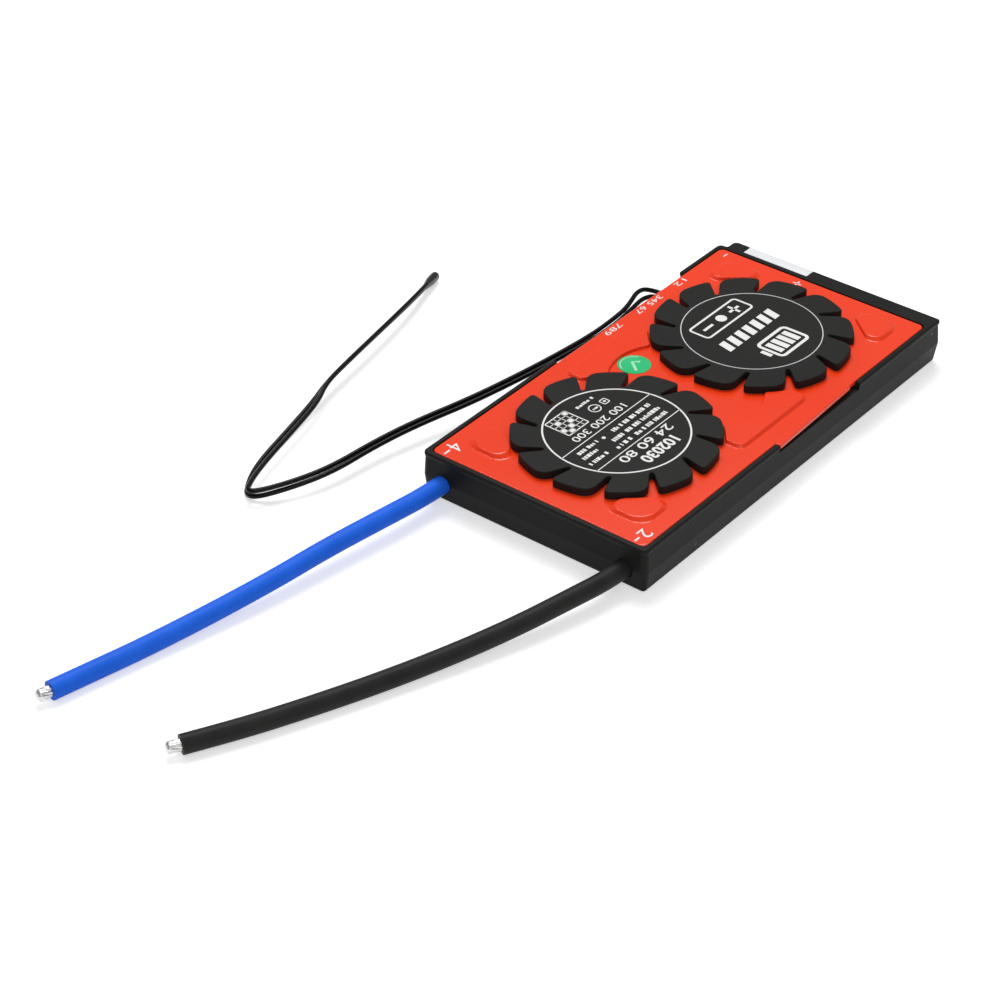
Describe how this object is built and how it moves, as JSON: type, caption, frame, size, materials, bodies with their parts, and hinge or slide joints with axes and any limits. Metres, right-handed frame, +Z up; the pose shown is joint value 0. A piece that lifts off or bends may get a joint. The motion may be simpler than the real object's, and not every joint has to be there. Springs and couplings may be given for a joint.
{
  "type": "battery management board",
  "caption": "Battery protection board in a flat black case with a red pressed cover, two black petalled heat discs, two power cables and a sensor lead.",
  "frame": {"origin": "centre of the case's footprint, on the surface that the case and the cable ends lie on", "axes": "+X across the case, +Y along it towards the balance header, +Z up out of the cover plate"},
  "size_m": [0.1253, 0.2361, 0.014],
  "materials": {
    "case_black": "satin moulded black",
    "plate_red": "satin red-orange paint",
    "rosette_black": "fine matt black",
    "sticker_green": "smooth green film",
    "board_green": "solder mask",
    "package_black": "moulded epoxy",
    "pad_grey": "soft thermal pad",
    "spreader_metal": "milled",
    "copper": "bare copper",
    "tinned": "tinned",
    "can_metal": "drawn can",
    "resistor_dark": "glazed ceramic",
    "header_white": "natural nylon",
    "cable_blue": "silicone",
    "cable_black": "silicone",
    "lead_black": "flexible sleeve",
    "bead_black": "dipped epoxy"
  },
  "bodies": {
    "root": {"case": "case_black", "cover_plate": "plate_red", "rosette_near": "rosette_black", "rosette_far": "rosette_black", "round_sticker": "sticker_green", "circuit_board": "board_green", "transistors_near": "package_black", "transistors_far": "package_black", "thermal_pad_near": "pad_grey", "thermal_pad_far": "pad_grey", "heat_spreader_near": "spreader_metal", "heat_spreader_far": "spreader_metal", "battery_busbar": "copper", "pack_busbar": "copper", "shunts": "tinned", "control_chip": "package_black", "monitor_chip": "package_black", "balance_resistors": "resistor_dark", "capacitors": "can_metal", "balance_header": "header_white", "balance_pins": "tinned", "uart_socket": "header_white", "uart_pins": "tinned", "led_socket": "header_white", "led_pins": "tinned", "sensor_socket": "header_white", "sensor_pins": "tinned", "sensor_plug": "header_white", "sensor_wire_a": "lead_black", "sensor_wire_b": "lead_black", "sensor_bead": "bead_black", "battery_cable": "cable_blue", "battery_cable_core": "tinned", "battery_cable_tip": "tinned", "pack_cable": "cable_black", "pack_cable_core": "tinned", "pack_cable_tip": "tinned"}
  },
  "joints": []
}
